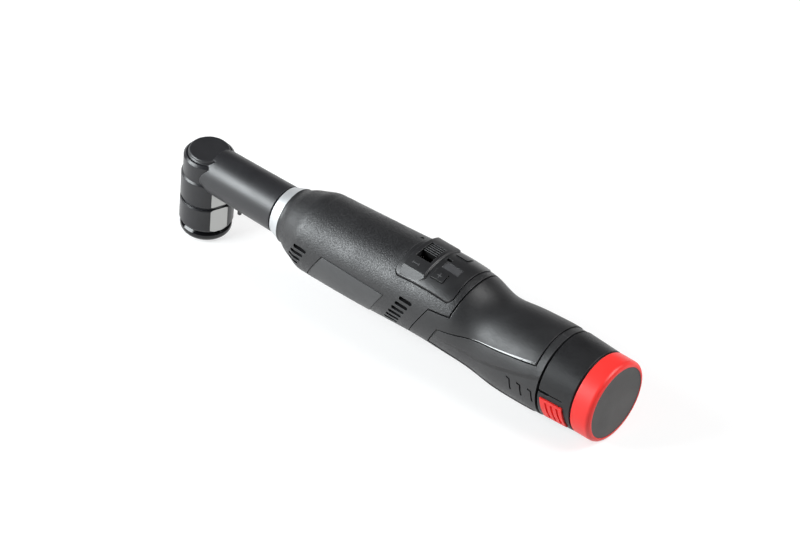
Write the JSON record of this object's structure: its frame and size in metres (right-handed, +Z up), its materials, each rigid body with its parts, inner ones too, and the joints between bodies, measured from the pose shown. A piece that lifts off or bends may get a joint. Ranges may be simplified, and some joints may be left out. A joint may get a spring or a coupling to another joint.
{
  "type": "cordless right-angle polisher",
  "caption": "Slim cordless right-angle polisher: bevel-gear head on a tapered neck, motor barrel with side slider and speed keys, rubber grip and round pull-off battery pack.",
  "frame": {"origin": "middle of the spindle nose's flat end", "axes": "+X from the head to the battery pack, +Z up the spindle through the head cap, -Y is the side seen in the picture"},
  "size_m": [0.298, 0.051, 0.0742],
  "materials": {
    "black_metal": "satin black coat",
    "gloss_black": "polished black",
    "ring_aluminium": "fine turned",
    "bare_steel": "ground",
    "gear_steel": "machined, oiled",
    "bearing_steel": "polished",
    "black_plastic": "fine spark texture",
    "switch_plastic": "smooth matte",
    "soft_rubber": "soft matte",
    "red_plastic": "satin red",
    "smoke_window": "smoked, glossy",
    "dark_plate": "satin",
    "circuit_green": "solder mask",
    "pale_plastic": "matte",
    "copper": "wound wire",
    "magnet_grey": "sintered",
    "motor_steel": "zinc plated",
    "lead_red": "insulated wire",
    "cell_wrap": "shrink wrap",
    "nickel": "nickel strip"
  },
  "bodies": {
    "frame": {"gear_head": "black_metal", "head_cap": "black_metal", "head_collar": "black_metal", "seal_ring": "gloss_black", "top_bearing": "bearing_steel", "spindle_bearing": "bearing_steel", "front_bearing": "bearing_steel", "rear_bearing": "bearing_steel", "bearing_spacer": "ring_aluminium", "neck_tube": "black_metal", "lock_bush": "bare_steel", "lock_spring": "bearing_steel", "clamp_ring": "ring_aluminium", "front_plate": "ring_aluminium", "neck_screws": "bare_steel", "motor_housing": "black_plastic", "side_plates": "switch_plastic", "switch_block": "switch_plastic", "display_window": "smoke_window", "slide_switch": "pale_plastic", "button_board": "circuit_green", "control_board": "circuit_green", "motor_can": "motor_steel", "motor_magnets": "magnet_grey", "motor_endbell": "pale_plastic", "motor_screws": "bare_steel", "motor_leads": "lead_red", "battery_leads": "lead_red", "handle_left": "black_plastic", "handle_right": "black_plastic", "grip_cover": "soft_rubber", "handle_screws": "bare_steel", "terminal_block": "pale_plastic"},
    "drive": {"drive_shaft": "bare_steel", "bevel_pinion": "gear_steel", "drive_coupling": "pale_plastic", "armature": "copper", "cooling_fan": "black_plastic"},
    "spindle": {"spindle": "bare_steel", "crown_gear": "gear_steel"},
    "slider": {"power_slider": "switch_plastic"},
    "plus_key": {"plus_button": "switch_plastic"},
    "minus_key": {"minus_button": "switch_plastic"},
    "lock": {"lock_pin": "black_metal"},
    "pack": {"battery_case": "black_plastic", "battery_cap": "red_plastic", "battery_plate": "dark_plate", "battery_cells": "cell_wrap", "cell_straps": "nickel", "pack_terminals": "nickel"},
    "release_left": {"release_button_left": "red_plastic"},
    "release_right": {"release_button_right": "red_plastic"}
  },
  "joints": [
    {"name": "drive_spin", "type": "hinge", "parent": "frame", "child": "drive", "pos_m": [0.04, 0, 0.044], "axis": [1, 0, 0], "continuous": true},
    {"name": "spindle_spin", "type": "hinge", "parent": "frame", "child": "spindle", "pos_m": [0, 0, 0], "axis": [0, 0, 1], "continuous": true},
    {"name": "power_slide", "type": "slide", "parent": "frame", "child": "slider", "axis": [0, -1, 0], "range_m": [0, 0.0054]},
    {"name": "plus_press", "type": "slide", "parent": "frame", "child": "plus_key", "axis": [0, 0, -1], "range_m": [0, 0.0008], "stiffness_N_per_m": 2500, "springref_m": -0.0002},
    {"name": "minus_press", "type": "slide", "parent": "frame", "child": "minus_key", "axis": [0, 0, -1], "range_m": [0, 0.0008], "stiffness_N_per_m": 2500, "springref_m": -0.0002},
    {"name": "lock_press", "type": "slide", "parent": "frame", "child": "lock", "axis": [0, 0, 1], "range_m": [0, 0.002], "stiffness_N_per_m": 1200, "springref_m": -0.0005, "deforming": ["lock_spring"]},
    {"name": "pack_pull", "type": "slide", "parent": "frame", "child": "pack", "axis": [1, 0, 0], "range_m": [0, 0.04]},
    {"name": "release_left_press", "type": "slide", "parent": "pack", "child": "release_left", "axis": [0, 1, 0], "range_m": [0, 0.0015], "stiffness_N_per_m": 3000, "springref_m": -0.0003},
    {"name": "release_right_press", "type": "slide", "parent": "pack", "child": "release_right", "axis": [0, -1, 0], "range_m": [0, 0.0015], "stiffness_N_per_m": 3000, "springref_m": -0.0003}
  ],
  "couplings": [
    {"joint": "spindle_spin", "follows": "drive_spin", "ratio": 0.5}
  ]
}
